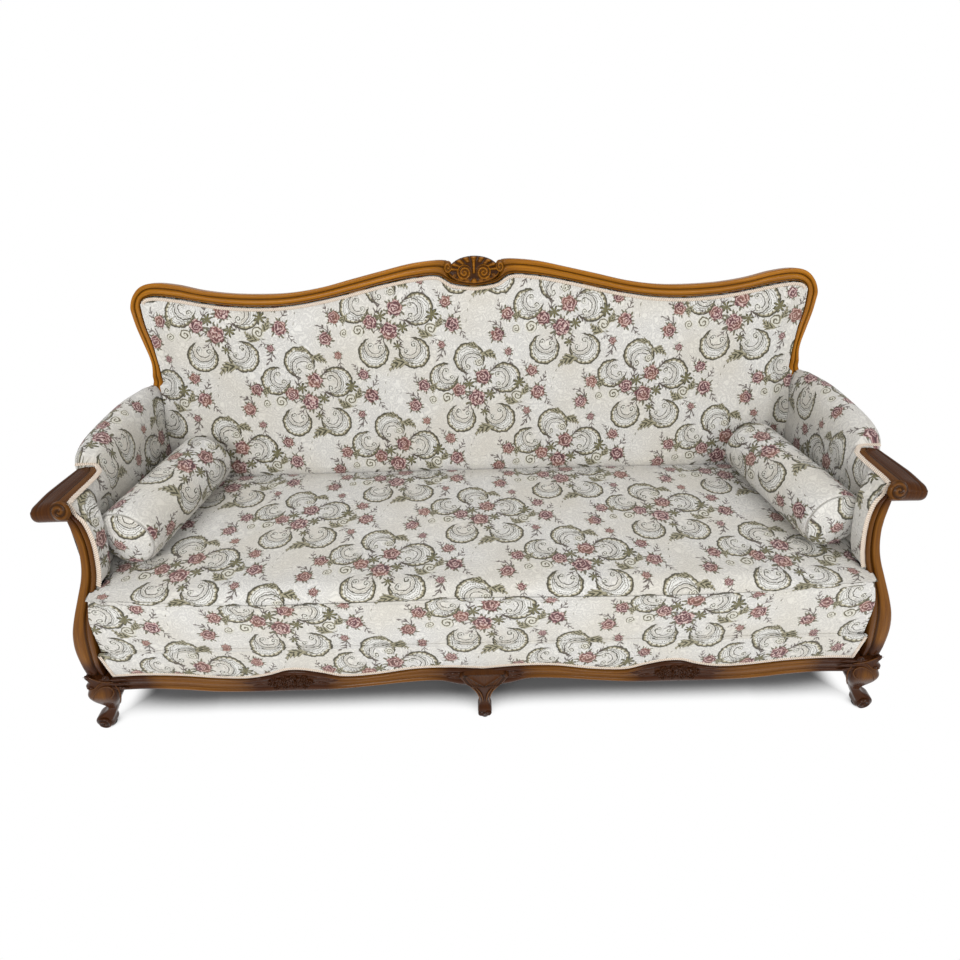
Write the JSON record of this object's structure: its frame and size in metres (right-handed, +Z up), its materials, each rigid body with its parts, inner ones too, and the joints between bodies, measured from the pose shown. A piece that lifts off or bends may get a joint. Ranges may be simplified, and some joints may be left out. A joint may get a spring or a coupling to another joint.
{
  "type": "cabriole sofa",
  "caption": "Upholstered settee with a carved serpentine show-wood frame, scrolled arms and legs, a sprung seat and loose bolsters lying along the arms.",
  "frame": {"origin": "on the floor, under the middle of the sofa's width and depth", "axes": "+X across the sofa to the right of someone who looks at its front, +Y from the front to the back, +Z up"},
  "size_m": [2.038, 0.7393, 1.0011],
  "materials": {
    "amber_show_wood": "golden amber walnut, hand carved, satin lacquer",
    "dark_walnut": "dark walnut carving, satin lacquer with lighter worn edges",
    "frame_beech": "planed beech, unfinished; the side and rear rails stained brown",
    "rose_jacquard": "pale grey-ivory jacquard with raised self-tone ground, olive scrolls and dusty roses",
    "gimp_braid": "peach-beige woven gimp braid",
    "jute": "plain jute weave",
    "spring_steel": "drawn spring wire",
    "dust_cloth": "thin black cloth",
    "glide_plastic": "moulded nail-on glide"
  },
  "bodies": {
    "frame": {"front_rail": "amber_show_wood", "rear_rail": "frame_beech", "side_rail_left": "frame_beech", "side_rail_right": "frame_beech", "front_leg_left": "dark_walnut", "front_leg_right": "dark_walnut", "front_centre_leg": "dark_walnut", "rear_centre_leg": "dark_walnut", "rear_post_left": "amber_show_wood", "rear_post_right": "amber_show_wood", "crest_rail": "amber_show_wood", "crest_cartouche": "dark_walnut", "rail_cartouche_left": "dark_walnut", "rail_cartouche_right": "dark_walnut", "rail_cartouche_centre": "dark_walnut", "arm_stump_left": "dark_walnut", "arm_stump_right": "dark_walnut", "hand_rest_left": "dark_walnut", "hand_rest_right": "dark_walnut", "arm_rail_left": "frame_beech", "arm_rail_right": "frame_beech", "back_lower_rail": "frame_beech", "back_uprights": "frame_beech", "seat_stretchers": "frame_beech", "corner_blocks": "frame_beech", "dowels": "frame_beech", "glides": "glide_plastic", "seat_webbing": "jute", "back_webbing": "jute", "seat_springs": "spring_steel", "edge_wire": "spring_steel", "seat_hessian": "jute", "seat_pad": "rose_jacquard", "seat_border": "rose_jacquard", "seat_welt_upper": "rose_jacquard", "seat_welt_lower": "rose_jacquard", "front_apron": "rose_jacquard", "back_pad": "rose_jacquard", "back_cover": "rose_jacquard", "arm_pad_left": "rose_jacquard", "arm_pad_right": "rose_jacquard", "arm_cover_left": "rose_jacquard", "arm_cover_right": "rose_jacquard", "gimp_front": "gimp_braid", "gimp_back": "gimp_braid", "gimp_arm_left": "gimp_braid", "gimp_arm_right": "gimp_braid", "dust_cover": "dust_cloth"},
    "bolster_left": {"bolster_left": "rose_jacquard"},
    "bolster_right": {"bolster_right": "rose_jacquard"}
  },
  "joints": [
    {"name": "bolster_left_lift", "type": "slide", "parent": "frame", "child": "bolster_left", "axis": [0.2, 0, 0.9798], "range_m": [0, 0.3]},
    {"name": "bolster_right_lift", "type": "slide", "parent": "frame", "child": "bolster_right", "axis": [-0.2, 0, 0.9798], "range_m": [0, 0.3]}
  ]
}
